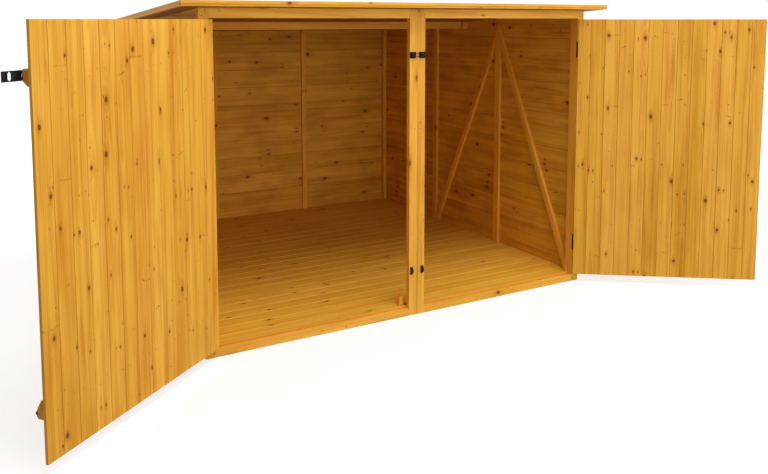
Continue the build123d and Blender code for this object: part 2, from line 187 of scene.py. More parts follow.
class Pine(Finish):
    """Pine cut as a solid block, whose grain runs along the first axis of its grain attribute."""

    def __init__(self, name):
        super().__init__(name)
        self.grain = self.mark("grain", "Vector")
        self.along, self.across, self.deep = self.node("SeparateXYZ", {0: self.grain}).outputs
        self.broad = self.scaled(self.mark("broad"), 0.8, 0.2)
        self.colour = None

    def mark(self, name, output="Fac"):
        """What the points or faces of a timber say of themselves."""
        return self.node("Attribute", attribute_name=name).outputs[output]

    def pattern(self, factors, **settings):
        """Noise that follows the grain; the factors are how fine it is along, across and through."""
        stretched = self.node("VectorMath", {0: self.grain, 1: factors}, operation="MULTIPLY")
        return self.noise(stretched.outputs[0], **settings)

    def length_of(self, first, second):
        squares = self.plus(self.math("POWER", first, 2.0), self.math("POWER", second, 2.0))
        return self.math("SQRT", squares)

    def scattered(self, run, width, share, seed):
        """Steps from the nearest of some scattered places, whether it is taken, and its chances."""
        cell = self.node("CombineXYZ", {
            0: self.math("DIVIDE", self.along, run),
            1: self.scaled(self.across, 1 / width, seed),
        }).outputs[0]
        field = self.node("TexVoronoi", {"Vector": cell, "Scale": 1.0}, voronoi_dimensions="2D")
        chances = self.node("SeparateColor", {0: field.outputs["Color"]}).outputs
        centre = self.node("SeparateXYZ", {0: field.outputs["Position"]}).outputs
        step_along = self.math("SUBTRACT", self.along, self.times(centre[0], run))
        centre_across = self.times(self.math("SUBTRACT", centre[1], seed), width)
        step_across = self.math("SUBTRACT", self.across, centre_across)
        return step_along, step_across, self.math("GREATER_THAN", chances[0], 1 - share), chances

    def knots(self, run, width, share, smallest, largest, seed):
        """Distance to the nearest knot, in its own radii, the same for the bend of the grain round
        it, and its radius. Some knots stand in pairs."""
        step_along, step_across, present, chances = self.scattered(run, width, share, seed)
        size = self.scaled(self.math("POWER", chances[2], 2.2), largest - smallest, smallest)
        paired = self.math("GREATER_THAN", chances[1], 0.76)
        second = self.times(paired, self.math("GREATER_THAN", step_across, 0.0))
        radius = self.scaled(present, self.times(size, self.scaled(second, -0.34, 1.0)), 1e-5)
        step_along = self.scaled(second, self.scaled(chances[2], 0.018, -0.009), step_along)
        apart = self.times(paired, self.scaled(size, 0.8, 0.11 * width))
        step_across = self.math("SUBTRACT", self.math("ABSOLUTE", step_across), apart)
        ragged = self.scaled(self.pattern((130, 190, 190), detail=1.5), 0.9, 0.55)
        gap = self.length_of(self.times(step_along, 0.72), step_across)
        bend = self.length_of(self.times(step_along, 0.30), step_across)
        near = self.times(self.math("DIVIDE", gap, radius), ragged)
        return near, self.math("DIVIDE", bend, radius), radius

    def spikes(self, run, width, share, seed):
        """How much of a knot cut along its length shows: a thin bowed line across the board."""
        step_along, step_across, present, chances = self.scattered(run, width, share, seed)
        bow = self.times(self.math("POWER", step_across, 2.0), self.scaled(chances[1], 24.0, -12.0))
        wobble = self.scaled(self.pattern((40, 90, 90)), 0.006, -0.003)
        off_line = self.math("ABSOLUTE", self.plus(step_along, self.plus(bow, wobble)))
        beside = self.math("ABSOLUTE", step_across)
        line = self.times(self.reach(off_line, 0.0054, 0.0012), self.reach(beside, 0.038, 0.032))
        patchy = self.reach(self.pattern((60, 60, 60)), 0.36, 0.60, 0.25, 1.0)
        patchy = self.times(patchy, self.reach(beside, 0.012, 0.030, 0.50, 1.0))
        return self.times(line, self.times(present, patchy))

    def rings(self, knot_bend, knot_radius, pin_bend, pin_radius):
        """How dark a year's ring is, about a wandering heart and bent round the knots."""
        wander = self.pattern((0.9, 2.4, 2.4), detail=2.5, output="Color")
        drift = self.node("SeparateColor", {0: wander}).outputs
        heart_across = self.plus(self.across, self.scaled(drift[0], 0.07, -0.035))
        heart_deep = self.plus(self.deep, self.scaled(drift[1], 0.05, -0.025))
        swell = self.times(self.reach(knot_bend, 3.2, 0.4), self.times(knot_radius, 0.85))
        pin_swell = self.times(self.reach(pin_bend, 3.0, 0.4), pin_radius)
        radius = self.plus(self.length_of(heart_across, heart_deep), self.plus(swell, pin_swell))
        outwards = self.node("CombineXYZ", {0: self.times(radius, 55.0)}).outputs[0]
        radius = self.scaled(self.noise(outwards, detail=1.0), 0.012, radius)
        year = self.math("FRACT", self.math("DIVIDE", radius, RING_WIDTH))
        return self.steps(year, (0.0, 0.0), (0.42, 0.12), (0.78, 0.75), (0.90, 1.0), (1.0, 0.06))

    def stain(self, share, strength, shade):
        """Lays a shade over the colour, mostly on the broad faces."""
        self.tint(self.times(self.times(share, strength), self.broad), shade)

    def tint(self, share, shade):
        """Lays a shade over the colour on every face."""
        self.colour = self.blend(share, self.colour, shade)


def pine_finish(
    name, light, dark, knots, pins, spikes=0.0, largest=11 * MM, mottle=0.22, spread=0.06,
    smudges=0.0, arris_highlight=0.0,
):
    """Stained pine that runs from a light colour to a dark one.

    Knots, pins and spikes are the shares of places taken by knots, by small knots and by knots cut
    along their length. Mottle is how cloudy a board is, and spread how much boards differ. Smudges
    are patches where the stain lies thicker, whatever the board. The seam marks bring painted shade
    into the joints between boards; arris_highlight is how much painted highlight lies on the arris of
    a board on the side where that painted shade is left off."""
    pine = Pine(name)
    knot, knot_bend, knot_radius = pine.knots(
        run=0.21, width=0.085, share=knots, smallest=2.6 * MM, largest=largest, seed=0.0,
    )
    pin, pin_bend, pin_radius = pine.knots(
        run=0.085, width=0.040, share=pins, smallest=0.9 * MM, largest=2.6 * MM, seed=7.0,
    )
    late = pine.rings(knot_bend, knot_radius, pin_bend, pin_radius)
    fibre = pine.pattern((7.0, 520.0, 520.0), detail=3.0, roughness=0.65)
    streak = pine.pattern((1.6, 62.0, 62.0), detail=2.0, roughness=0.6)
    band = pine.pattern((0.8, 30.0, 30.0), detail=1.5)
    cloud = pine.pattern((3.4, 13.0, 13.0), detail=2.0)

    depth = pine.times(late, 0.26)
    for pattern, start, end, strength in (
        (streak, 0.42, 0.76, 0.26),
        (fibre, 0.45, 0.75, 0.14),
        (band, 0.30, 0.72, 0.34),
        (cloud, 0.42, 0.70, mottle),
    ):
        depth = pine.scaled(pine.reach(pattern, start, end), strength, depth)
    tone = pine.mark("tone")
    pine.colour = pine.node("HueSaturation", {
        "Hue": pine.scaled(pine.math("FRACT", pine.times(tone, 7.3)), 0.004, 0.498),
        "Saturation": pine.scaled(tone, -0.010, 0.995),
        "Value": pine.scaled(tone, spread, 1.0),
        "Color": pine.blend(pine.math("MULTIPLY", depth, 1.0, clamp=True), light, dark),
    }).outputs[0]

    pine.stain(pine.reach(knot_bend, 2.6, 0.7), 0.34, KNOT_HALO)
    pine.stain(pine.reach(knot, 2.6, 0.9), 0.34, KNOT_SKIRT)
    eye = pine.noise(pine.node("CombineXYZ", {0: pine.times(knot, 5.0)}).outputs[0], detail=1.0)
    pine.stain(pine.reach(knot, 1.22, 0.74), 0.86, pine.blend(eye, KNOT_PALE, KNOT_DARK))
    pine.stain(pine.times(pine.reach(knot, 1.05, 0.80), pine.reach(knot, 0.40, 0.66)), 0.50, KNOT_CORE)
    pine.stain(pine.reach(pin, 2.8, 0.9), 0.30, PIN_SKIRT)
    pine.stain(pine.reach(pin, 1.3, 0.7), 0.78, PIN_EYE)
    if spikes:
        pine.stain(pine.spikes(run=0.40, width=0.10, share=spikes, seed=3.0), 0.62, SPIKE_STAIN)
    if smudges:
        patch = pine.noise(pine.node("TexCoord").outputs["Object"], scale=4.2, detail=3.0, roughness=0.55)
        pine.tint(pine.times(pine.reach(patch, 0.46, 0.70), smudges), THICK_STAIN)
    # Painted shade in the joints between boards, on the arrises that the seam mark picks out.
    seam = pine.mark("seam")
    shaded = pine.math("MAXIMUM", seam, 0.0) if arris_highlight else pine.math("ABSOLUTE", seam)
    pine.tint(pine.times(shaded, 0.58), SEAM_SHADE)
    # Painted highlight on the arris that faces the light, where the seam is below zero.
    if arris_highlight:
        pale = pine.math("MAXIMUM", pine.times(seam, -1.0), 0.0)
        pine.tint(pine.times(pale, arris_highlight), ARRIS_HIGHLIGHT)
    pine.tint(pine.times(pine.mark("end_cut"), 0.34), END_STAIN)

    height = pine.scaled(late, 0.35, pine.times(fibre, 0.65))
    pine.bump(pine.scaled(pine.reach(knot, 1.3, 0.9), 0.6, height), 0.5 * MM, 0.45)
    pine.cover(
        Base_Color=pine.colour,
        Roughness=pine.scaled(late, -0.06, pine.scaled(fibre, 0.20, 0.50)),
        Specular_IOR_Level=0.13,
    )
    return pine.material


# Felt and metal

def felt_finish():
    """Mineral roofing felt: charcoal with fine pale and green grit."""
    felt = Finish("mineral_felt")
    place = felt.node("TexCoord").outputs["Object"]
    grit = felt.node("TexVoronoi", {"Vector": place, "Scale": 620.0})
    fleck = felt.node("SeparateColor", {0: grit.outputs["Color"]}).outputs
    patch = felt.noise(place, scale=3.0, detail=4.0)
    colour = felt.blend(felt.reach(patch, 0.3, 0.7), screen(50, 54, 52), screen(70, 74, 71))
    colour = felt.blend(felt.reach(fleck[0], 0.62, 0.98, 0.0, 0.75), colour, screen(128, 132, 124))
    colour = felt.blend(felt.reach(fleck[1], 0.70, 1.0, 0.0, 0.7), colour, screen(58, 78, 62))
    colour = felt.blend(felt.reach(fleck[2], 0.70, 1.0, 0.0, 0.8), colour, screen(26, 27, 28))
    felt.cover(Base_Color=colour, Roughness=0.92, Specular_IOR_Level=0.25)
    coarse = felt.noise(place, scale=900.0, detail=2.0)
    felt.bump(felt.plus(coarse, grit.outputs["Distance"]), 1.2 * MM, 0.6)
    return felt.material


def coated_finish():
    """Black powder coat with a fine orange-peel and greyed handling marks."""
    coat = Finish("black_powder_coat")
    place = coat.node("TexCoord").outputs["Object"]
    rub = coat.noise(place, scale=46.0, detail=5.0, roughness=0.7)
    coat.cover(
        Base_Color=coat.blend(coat.reach(rub, 0.52, 0.78), screen(8, 8, 9), screen(18, 18, 20)),
        Roughness=coat.reach(rub, 0.3, 0.8, 0.42, 0.60),
        Specular_IOR_Level=0.14,
    )
    coat.bump(coat.noise(place, scale=1500.0, detail=1.0), 0.3 * MM, 0.35)
    return coat.material


def zinc_finish(name, light, dark, roughness):
    """Zinc plate: dull metal with a soft cloudy spangle."""
    zinc = Finish(name)
    place = zinc.node("TexCoord").outputs["Object"]
    spangle = zinc.node("TexVoronoi", {"Vector": place, "Scale": 300.0})
    facet = zinc.node("SeparateColor", {0: spangle.outputs["Color"]}).outputs[0]
    cloud = zinc.noise(place, scale=85.0, detail=4.0)
    zinc.cover(
        Base_Color=zinc.blend(zinc.scaled(facet, 0.45, zinc.times(cloud, 0.6)), light, dark),
        Roughness=zinc.reach(cloud, 0.2, 0.8, roughness - 0.06, roughness + 0.10),
        Metallic=1.0,
    )
    zinc.bump(cloud, 0.2 * MM, 0.25)
    return zinc.material


FINISHES = {
    "frame_timber": pine_finish(
        "frame_pine", screen(247, 186, 70), screen(215, 146, 36), knots=0.12, pins=0.10,
    ),
    "wall_timber": pine_finish(
        "wall_pine", screen(245, 185, 62), screen(200, 133, 28), knots=0.34, pins=0.10, mottle=0.34,
        smudges=0.22,
    ),
    "door_timber": pine_finish(
        "door_pine", screen(244, 184, 69), screen(203, 128, 24), knots=0.44, pins=0.22, spikes=0.17,
        largest=8.4 * MM,
    ),
    # The floor pine paints highlights on the arrises of its boards that face the light.
    "floor_timber": pine_finish(
        "floor_pine", screen(242, 183, 62), screen(210, 144, 35), knots=0.18, pins=0.08, spread=0.030,
        arris_highlight=0.75,
    ),
    "roof_felt": felt_finish(),
    "black_steel": coated_finish(),
}
# A darker copy of the pine for the roof boards, whose undersides are seen: painted shade under the roof.
SHADED_ROOF_PINE = pine_finish("roof_pine", screen(164, 100, 28), screen(118, 64, 14), knots=0.12, pins=0.10)
FELT_NAIL_METAL = zinc_finish("felt_nail_heads", screen(176, 178, 178), screen(124, 128, 130), 0.42)
NAIL_METAL = zinc_finish("nail_heads", screen(84, 62, 40), screen(50, 34, 22), 0.58)
SCREW_METAL = zinc_finish("black_screws", screen(30, 30, 32), screen(18, 18, 20), 0.46)


# Meshes and pieces

def put(name, data):
    """Puts a mesh, a lamp or a camera into the scene."""
    added = bpy.data.objects.new(name, data)
    bpy.context.scene.collection.objects.link(added)
    return added


def show(name, mesh, slot, body="frame", nodes=(), material=None):
    """Makes a mesh a piece of the shelter that rides on a body."""
    piece = put(name, mesh)
    mesh.materials.clear()
    mesh.materials.append(material or FINISHES[slot])
    if nodes:
        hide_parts(*nodes)
    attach(piece, body)
    return piece


def finished(holder):
    """The plain mesh that an object's modifiers make of it; the object itself goes."""
    bpy.context.view_layer.update()
    graph = bpy.context.evaluated_depsgraph_get()
    mesh = bpy.data.meshes.new_from_object(holder.evaluated_get(graph), depsgraph=graph)
    spent = holder.data
    bpy.data.objects.remove(holder)
    bpy.data.meshes.remove(spent)
    return mesh


def shade_smooth(mesh, sharpest):
    """Shades a mesh smoothly, but for the edges that turn by more than an angle in degrees."""
    for face in mesh.polygons:
        face.use_smooth = True
    mesh.set_sharp_from_angle(angle=math.radians(sharpest))


def merged(node):
    """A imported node's loose triangles, joined where they meet."""
    whole = bmesh.new()
    whole.from_mesh(frame["nodes"][node].data)
    bmesh.ops.remove_doubles(whole, verts=whole.verts, dist=0.02 * MM)
    return whole


def flatten(solid):
    """Makes one face of the triangles that lie in a plane."""
    bmesh.ops.dissolve_limit(solid, angle_limit=math.radians(0.5), verts=solid.verts, edges=solid.edges)


def solids(node):
    """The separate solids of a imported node, merged and with their flat faces whole."""
    whole = merged(node)
    left = set(whole.verts)
    found = []
    while left:
        group, edge = set(), {left.pop()}
        while edge:
            vertex = edge.pop()
            group.add(vertex)
            edge |= {link.other_vert(vertex) for link in vertex.link_edges} - group
        left -= group
        faces = {face for vertex in group for face in vertex.link_faces}
        one = bmesh.new()
        copies = {vertex: one.verts.new(vertex.co) for vertex in sorted(group, key=lambda v: v.index)}
        for face in sorted(faces, key=lambda f: f.index):
            one.faces.new([copies[vertex] for vertex in face.verts])
        flatten(one)
        one.normal_update()
        found.append(one)
    whole.free()
    found.sort(key=lambda one: tuple(round(value, 4) for value in limits(one)[0]))
    return found


def limits(solid, place=Matrix()):
    """Lowest and highest corner of a solid, seen from a place."""
    back = place.inverted()
    corners = np.array([back @ vertex.co for vertex in solid.verts])
    return Vector(corners.min(0)), Vector(corners.max(0))


def limits_of(node, place=Matrix()):
    """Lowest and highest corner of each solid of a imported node, seen from a place."""
    found = []
    for solid in solids(node):
        found.append(limits(solid, place))
        solid.free()
    return found


def longest_edge(solid):
    """The way in which the longest edge of a solid runs."""
    edge = max(solid.edges, key=lambda e: round(e.calc_length(), 5))
    run = (edge.verts[1].co - edge.verts[0].co).normalized()
    return run if max(run, key=abs) > 0 else -run


def set_back(solid, lower=9.5 * MM, ledge=1.5 * MM, depth=3.0 * MM):
    """Sets the lower part of a strip's front back, under a narrow ledge."""
    low = limits(solid)[0]
    for height in (low.z + lower, low.z + lower + ledge):
        everything = solid.verts[:] + solid.edges[:] + solid.faces[:]
        bmesh.ops.bisect_plane(solid, geom=everything, plane_co=(0, 0, height), plane_no=(0, 0, 1))
    for vertex in solid.verts:
        is_below = vertex.co.z < low.z + lower + 0.1 * MM
        is_in_front = vertex.co.y < low.y + 2.0 * MM
        if is_below and is_in_front:
            vertex.co.y += depth


MARKS = {
    "grain": ("FLOAT_VECTOR", "POINT"),
    "tone": ("FLOAT", "POINT"),
    "seam": ("FLOAT", "POINT"),
    "end_cut": ("FLOAT", "FACE"),
    "broad": ("FLOAT", "FACE"),
}


class Pile:
    """Timbers and boards gathered in one mesh, each with its own grain."""

    def __init__(self):
        self.points, self.faces = [], []
        self.marks = {name: [] for name in MARKS}

    def take(self, solid, place=Matrix(), **marks):
        """Adds a solid, moved to its place, with the marks of its points and faces."""
        start = len(self.points)
        bmesh.ops.transform(solid, matrix=place, verts=solid.verts)
        bmesh.ops.recalc_face_normals(solid, faces=solid.faces)
        solid.verts.index_update()
        self.points += [tuple(vertex.co) for vertex in solid.verts]
        self.faces += [[start + vertex.index for vertex in face.verts] for face in solid.faces]
        for name, values in marks.items():
            self.marks[name] += values
        solid.free()

    def timber(self, solid, arris, paired=False, stepped=False):
        """Adds one planed timber with its arrises eased.

        A paired one has painted shade where it meets its pair at the middle, most at its foot. A stepped one
        has the lower part of its front set back."""
        run = longest_edge(solid)
        flanks = [face for face in solid.faces if abs(face.normal.dot(run)) < 0.1]
        deep = max(flanks, key=lambda face: round(face.calc_area(), 6)).normal.copy()
        axes = Matrix((run, deep.cross(run), deep))
        bmesh.ops.bevel(solid, geom=solid.edges[:], offset=arris, segments=2, profile=0.5, affect="EDGES")
        if stepped:
            set_back(solid)
        solid.normal_update()
        low, high = limits(solid)
        middle = (low + high) / 2
        heart = Vector((dice.uniform(0, 60), dice.uniform(-0.05, 0.05), dice.uniform(0.025, 0.09)))
        tone = dice.uniform(-1, 1)
        seam = [0.0] * len(solid.verts)
        if paired:
            for number, vertex in enumerate(solid.verts):
                up = (vertex.co.z - low.z) / (high.z - low.z)
                # Painted shade along the arris that meets the pair, darker towards the foot.
                seam[number] = max(0.0, 1 - abs(vertex.co.x) / arris) * (1 - 0.75 * up)
        self.take(
            solid,
            grain=[tuple(axes @ (vertex.co - middle) + heart) for vertex in solid.verts],
            tone=[tone] * len(solid.verts),
            seam=seam,
            end_cut=[1.0 if abs(face.normal.dot(run)) > 0.5 else 0.0 for face in solid.faces],
            broad=[1.0 if abs(face.normal.dot(deep)) > 0.7 else 0.0 for face in solid.faces],
        )

    def boards(self, mesh, place, cuts=()):
        """Adds laid boards, moved to their place and cut off at planes."""
        solid = bmesh.new()
        solid.from_mesh(mesh)
        back = place.inverted()
        for point, outward in cuts:
            normal = place.to_3x3().transposed() @ Vector(outward)
            cut = bmesh.ops.bisect_plane(
                solid, geom=solid.verts[:] + solid.edges[:] + solid.faces[:], dist=0.01 * MM,
                plane_co=back @ Vector(point), plane_no=normal, clear_outer=True,
            )
            edges = [item for item in cut["geom_cut"] if isinstance(item, bmesh.types.BMEdge)]
            bmesh.ops.holes_fill(solid, edges=edges, sides=0)
        solid.normal_update()
        vectors, floats = solid.verts.layers.float_vector, solid.verts.layers.float
        self.take(
            solid, place,
            grain=[tuple(vertex[vectors["grain"]]) for vertex in solid.verts],
            tone=[vertex[floats["tone"]] for vertex in solid.verts],
            seam=[vertex[floats["seam"]] for vertex in solid.verts],
            end_cut=[1.0 if abs(face.normal.x) > 0.9 else 0.0 for face in solid.faces],
            broad=[1.0 if abs(face.normal.z) > 0.7 else 0.0 for face in solid.faces],
        )
        bpy.data.meshes.remove(mesh)

    def mesh(self, name):
        """The gathered solids as one mesh, with their marks as attributes."""
        made = bpy.data.meshes.new(name)
        made.from_pydata(self.points, [], self.faces)
        for mark, (kind, domain) in MARKS.items():
            values = np.array(self.marks[mark], dtype=np.float32).ravel()
            key = "vector" if kind == "FLOAT_VECTOR" else "value"
            made.attributes.new(mark, kind, domain).data.foreach_set(key, values)
        return made


# Geometry trees for what repeats

def in_use(sockets, name=None):
    """The socket that is in use, of several that share a name."""
    return next(one for one in sockets if one.enabled and name in (None, one.name))


class Growth(Nodes):
    """A geometry tree in the making, with named inputs."""

    def __init__(self, name, **inputs):
        super().__init__(bpy.data.node_groups.new(name, "GeometryNodeTree"))
        self.tree.interface.new_socket("Geometry", in_out="INPUT", socket_type="NodeSocketGeometry")
        for key, kind in inputs.items():
            self.tree.interface.new_socket(key, in_out="INPUT", socket_type="NodeSocket" + kind)
        self.tree.interface.new_socket("Geometry", in_out="OUTPUT", socket_type="NodeSocketGeometry")
        self.given = self.tree.nodes.new("NodeGroupInput").outputs

    def vector(self, x=0.0, y=0.0, z=0.0):
        return self.node("ShaderNodeCombineXYZ", {0: x, 1: y, 2: z}).outputs[0]

    def chance(self, low, high, number, seed):
        """A random number for each board or head, fixed by its seed."""
        made = self.node("FunctionNodeRandomValue", data_type="FLOAT")
        for key, source in (("Min", low), ("Max", high), ("ID", number), ("Seed", seed)):
            self.feed(in_use(made.inputs, key), source)
        return in_use(made.outputs)

    def store(self, geometry, name, value, kind):
        """Writes a value to an attribute of the geometry's points."""
        made = self.node("GeometryNodeStoreNamedAttribute", data_type=kind, domain="POINT")
        self.feed(made.inputs["Geometry"], geometry)
        self.feed(made.inputs["Name"], name)
        self.feed(in_use(made.inputs, "Value"), value)
        return made.outputs[0]

    def end(self, geometry, material):
        """Closes the tree: realizes its instances and sets the material."""
        real = self.node("GeometryNodeRealizeInstances", {"Geometry": geometry}).outputs[0]
        coated = self.node("GeometryNodeSetMaterial", {"Geometry": real, "Material": material}).outputs[0]
        self.tree.links.new(coated, self.tree.nodes.new("NodeGroupOutput").inputs[0])
        return self.tree


def grow(tree, base=None, **values):
    """Runs a geometry tree once and returns its result as a plain mesh."""
    holder = put("holder", base or bpy.data.meshes.new("holder"))
    modifier = holder.modifiers.new("growth", "NODES")
    modifier.node_group = tree
    for item in tree.interface.items_tree:
        if item.item_type == "SOCKET" and item.in_out == "INPUT" and item.name in values:
            modifier[item.identifier] = values[item.name]
    return finished(holder)


def board_shape(growth, width):
    """One board with eased edges, along X."""
    section = growth.node("GeometryNodeCurvePrimitiveQuadrilateral", {
        "Width": width,
        "Height": growth.given["Thickness"],
    })
    eased = growth.node("GeometryNodeFilletCurve", {
        "Curve": section.outputs[0],
        "Radius": growth.given["Chamfer"],
        "Count": 1,
    }, mode="POLY")
    run = growth.node("GeometryNodeCurvePrimitiveLine", {"End": growth.vector(x=growth.given["Length"])})
    board = growth.node("GeometryNodeCurveToMesh", {
        "Curve": run.outputs[0],
        "Profile Curve": eased.outputs[0],
        "Fill Caps": True,
    })
    return board.outputs[0]


def tongue_shape(growth, width=9 * MM):
    """The tongue that closes the joint between two boards."""
    length, thickness = growth.given["Length"], growth.given["Thickness"]
    size = growth.vector(length, width, growth.times(thickness, 0.3))
    tongue = growth.node("GeometryNodeMeshCube", {"Size": size})
    centred = growth.node("GeometryNodeTransform", {
        "Geometry": tongue.outputs[0],
        "Translation": growth.vector(x=growth.times(length, 0.5)),
    })
    return centred.outputs[0]


def in_a_row(growth, shape, count, first, uneven=0.0):
    """Copies of a shape, one pitch apart along Y from the first, each a little up or down."""
    row = growth.node("GeometryNodeMeshLine", {
        "Count": count,
        "Start Location": growth.vector(y=first),
        "Offset": growth.vector(y=growth.given["Pitch"]),
    })
    number = growth.node("GeometryNodeInputIndex").outputs[0]
    seat = growth.node("GeometryNodeSetPosition", {
        "Geometry": row.outputs[0],
        "Offset": growth.vector(z=growth.chance(-uneven, uneven, number, growth.given["Seed"])),
    })
    copies = growth.node("GeometryNodeInstanceOnPoints", {"Points": seat.outputs[0], "Instance": shape})
    return copies.outputs[0]


def marked_boards(growth, geometry, width):
    """Gives each board a grain, a tone and, on its arrises, a seam of its own: a mark of where painted shade lies
    in the joints.

    A seam is above zero on the arris that faces away from the first board, and below zero on the
    other one; a finish may paint a highlight instead of shade on the side below zero. The outer arris of the first
    board counts as facing away."""
    pitch, chamfer, seed = (growth.given[name] for name in ("Pitch", "Chamfer", "Seed"))
    place = growth.node("GeometryNodeInputPosition").outputs[0]
    x, y, z = growth.node("ShaderNodeSeparateXYZ", {0: place}).outputs
    board = growth.math("FLOOR", growth.math("DIVIDE", y, pitch))
    from_middle = growth.math("SUBTRACT", y, growth.times(growth.plus(board, 0.5), pitch))

    def drawn(low, high, shift):
        return growth.chance(low, high, board, growth.plus(seed, shift))

    grain = growth.vector(
        growth.plus(x, drawn(0.0, 60.0, 1)),
        growth.plus(from_middle, drawn(-0.05, 0.05, 2)),
        growth.plus(z, drawn(0.02, 0.085, 3)),
    )
    flat_reach = growth.scaled(width, 0.5, growth.times(chamfer, -0.5))
    on_arris = growth.math("GREATER_THAN", growth.math("ABSOLUTE", from_middle), flat_reach)
    outermost = growth.math("LESS_THAN", y, growth.times(pitch, 0.25))
    side = growth.math("MAXIMUM", growth.math("SIGN", from_middle), growth.scaled(outermost, 2.0, -1.0))
    strength = growth.math("POWER", drawn(0.25, 1.0, 5), 1.6)
    marked = growth.store(geometry, "grain", grain, "FLOAT_VECTOR")
    marked = growth.store(marked, "seam", growth.times(growth.times(on_arris, strength), side), "FLOAT")
    return growth.store(marked, "tone", drawn(-1.0, 1.0, 4), "FLOAT")


def boarding_tree():
    """Tongued boards side by side: X along them, Y across them, Z through them."""
    growth = Growth(
        "boarding", Length="Float", Pitch="Float", Joint="Float", Thickness="Float",
        Chamfer="Float", Boards="Int", Seed="Int", Material="Material",
    )
    pitch, count = growth.given["Pitch"], growth.given["Boards"]
    width = growth.math("SUBTRACT", pitch, growth.given["Joint"])
    laid = in_a_row(growth, board_shape(growth, width), count, growth.times(pitch, 0.5), 0.25 * MM)
    tongues = in_a_row(growth, tongue_shape(growth), growth.math("SUBTRACT", count, 1), pitch)
    both = growth.node("GeometryNodeJoinGeometry")
    growth.tree.links.new(tongues, both.inputs[0])
    growth.tree.links.new(laid, both.inputs[0])
    real = growth.node("GeometryNodeRealizeInstances", {"Geometry": both.outputs[0]}).outputs[0]
    return growth.end(marked_boards(growth, real, width), growth.given["Material"])


def fixings_tree(sides=12):
    """Nail or screw heads at points, each facing along its point's own direction."""
    growth = Growth(
        "fixings", Radius="Float", Height="Float", Recess="Float", Seed="Int", Material="Material",
    )
    given = growth.given
    disc = growth.node("GeometryNodeMeshCircle", {
        "Vertices": sides,
        "Radius": given["Radius"],
    }, fill_type="NGON")

    def raised(geometry, top, scale, lift):
        """Draws the top face up by a lift and shrinks it."""
        drawn = growth.node("GeometryNodeExtrudeMesh", {
            "Mesh": geometry,
            "Selection": top,
            "Offset": growth.vector(z=1.0),
            "Offset Scale": lift,
        }, mode="FACES")
        shrunk = growth.node("GeometryNodeScaleElements", {
            "Geometry": drawn.outputs["Mesh"],
            "Selection": drawn.outputs["Top"],
            "Scale": scale,
        })
        return shrunk.outputs[0], drawn.outputs["Top"]

    half_height = growth.times(given["Height"], 0.5)
    skirt = raised(disc.outputs[0], True, 0.98, half_height)
    dome = raised(*skirt, 0.78, half_height)
    rim = raised(*dome, 0.62, 0.0)
    head, _ = raised(*rim, 0.86, growth.times(given["Recess"], -1.0))
    facing = growth.node("GeometryNodeInputNamedAttribute", {"Name": "facing"}, data_type="FLOAT_VECTOR")
    upright = growth.node("FunctionNodeAlignRotationToVector", {"Vector": facing.outputs[0]}, axis="Z")
    number = growth.node("GeometryNodeInputIndex").outputs[0]
    turned = growth.node("FunctionNodeRotateRotation", {
        "Rotation": upright.outputs[0],
        "Rotate By": growth.vector(z=growth.chance(0.0, math.tau, number, given["Seed"])),
    }, rotation_space="LOCAL")
    set_in = growth.node("GeometryNodeInstanceOnPoints", {
        "Points": given["Geometry"],
        "Instance": head,
        "Rotation": turned.outputs[0],
    })
    return growth.end(set_in.outputs[0], given["Material"])


BOARDING = boarding_tree()
FIXINGS = fixings_tree()

WALL_NAIL = dict(radius=2.4 * MM, height=0.7 * MM)
FLOOR_NAIL = dict(radius=2.2 * MM, height=0.45 * MM)
DOOR_NAIL = dict(radius=1.5 * MM, height=0.3 * MM)
SILL_NAIL = dict(radius=2.9 * MM, height=0.5 * MM)
POST_NAIL = dict(radius=2.1 * MM, height=0.45 * MM)
FELT_NAIL = dict(radius=4.6 * MM, height=0.6 * MM, material=FELT_NAIL_METAL, slot="roof_felt")
SCREW = dict(radius=2.7 * MM, height=0.9 * MM, recess=0.7 * MM, material=SCREW_METAL)


def boards(length, pitch, count, thickness, seed, joint=0.8 * MM, chamfer=1.7 * MM):
    """Boards laid side by side, thinner than their slab because each sits a little up or down."""
    return grow(
        BOARDING, Length=length, Pitch=pitch, Joint=joint, Thickness=thickness - 0.6 * MM,
        Chamfer=chamfer, Boards=count, Seed=seed, Material=FINISHES["wall_timber"],
    )


def heads(name, spots, radius, height, recess=0.0, material=NAIL_METAL, body="frame", slot="black_steel"):
    """Shows nail or screw heads; each spot is a place and the way it faces."""
    base = bpy.data.meshes.new("spots")
    base.from_pydata([tuple(place) for place, _ in spots], [], [])
    facing = base.attributes.new("facing", "FLOAT_VECTOR", "POINT")
    facing.data.foreach_set("vector", np.array([tuple(way) for _, way in spots], dtype=np.float32).ravel())
    mesh = grow(FIXINGS, base, Radius=radius, Height=height, Recess=recess, Seed=3, Material=material)
    return show(name, mesh, slot, body, material=material)


# Places taken from the frame

AXES = {"X": 0, "Y": 1, "Z": 2}
RECORD = frame["record"]
SLOT_OF = {part["node"]: part["material_slot"] for part in RECORD["subparts"]}
BODY_OF = {node: body for body, nodes in RECORD["behaviour"]["bodies"].items() for node in nodes}
LAID = {
    "left_wall", "right_wall", "back_wall", "floor_boards", "roof_boards", "roof_felt",
    "left_door_boards", "right_door_boards",
}

# Widths and numbers of what is laid, and the height of the lowest joint in the walls
WALL_BOARD = 129 * MM
LOWEST_JOINT = 96 * MM
FLOOR_ROWS = 24
ROOF_ROWS = 25
DOOR_STRIPS = 13
HINGE_STRIP, FREE_STRIP = 68 * MM, 73 * MM
FELT_SHEETS = 3
FELT_THICKNESS = 1.1 * MM
FELT_LAP = 90 * MM

